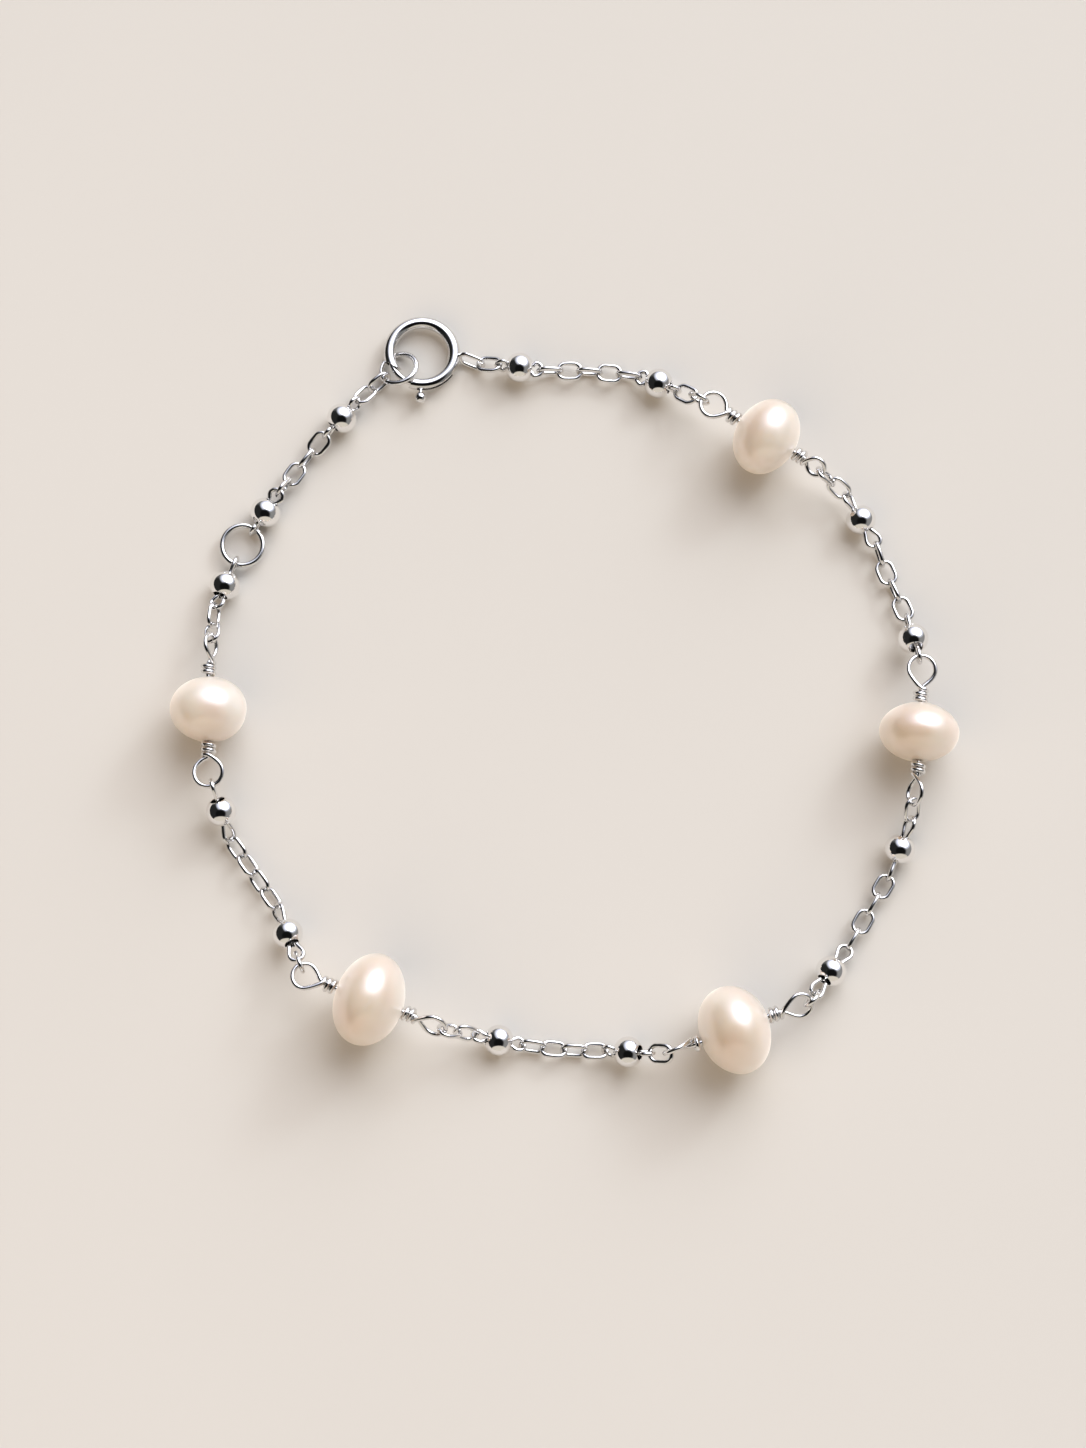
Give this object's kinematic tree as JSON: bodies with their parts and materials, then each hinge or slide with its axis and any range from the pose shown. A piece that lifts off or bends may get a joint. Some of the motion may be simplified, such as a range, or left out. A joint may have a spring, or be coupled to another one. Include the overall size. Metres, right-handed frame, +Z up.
{
  "type": "bracelet",
  "caption": "Fine silver cable-chain bracelet with wire-wrapped white pearls between polished ball stations, closed by a sprung ring clasp.",
  "frame": {"origin": "on the surface that the bracelet lies on, under the middle of its loop", "axes": "+X to the right and +Y away from the viewer as the bracelet lies closed, +Z up"},
  "size_m": [0.0602, 0.0598, 0.0073],
  "materials": {
    "nacre": "white pearl nacre, satin lustre",
    "silver": "polished silver wire",
    "bright_silver": "mirror-polished silver balls"
  },
  "bodies": {
    "bracelet": {"clasp_ring": "silver", "jump_ring": "silver", "pearl_1": "nacre", "pearl_pin_1": "silver", "pearl_2": "nacre", "pearl_pin_2": "silver", "pearl_3": "nacre", "pearl_pin_3": "silver", "pearl_4": "nacre", "pearl_pin_4": "silver", "pearl_5": "nacre", "pearl_pin_5": "silver", "sizing_ring": "silver", "ball_01": "bright_silver", "ball_02": "bright_silver", "chain_1": "silver", "ball_03": "bright_silver", "ball_04": "bright_silver", "chain_2": "silver", "ball_05": "bright_silver", "ball_06": "bright_silver", "chain_3": "silver", "ball_07": "bright_silver", "ball_08": "bright_silver", "chain_4": "silver", "ball_09": "bright_silver", "ball_10": "bright_silver", "chain_5": "silver", "ball_11": "bright_silver", "chain_6": "silver", "ball_12": "bright_silver", "ball_13": "bright_silver", "chain_7": "silver"},
    "clasp_bolt": {"clasp_bolt": "silver"}
  },
  "joints": [
    {"name": "clasp_bolt_slide", "type": "hinge", "parent": "bracelet", "child": "clasp_bolt", "pos_m": [-0.01111, 0.02686, 0.00087], "axis": [0.0442, 0.03, 0.9986], "range_deg": [0, 50], "stiffness_Nm_per_rad": 0.003}
  ]
}
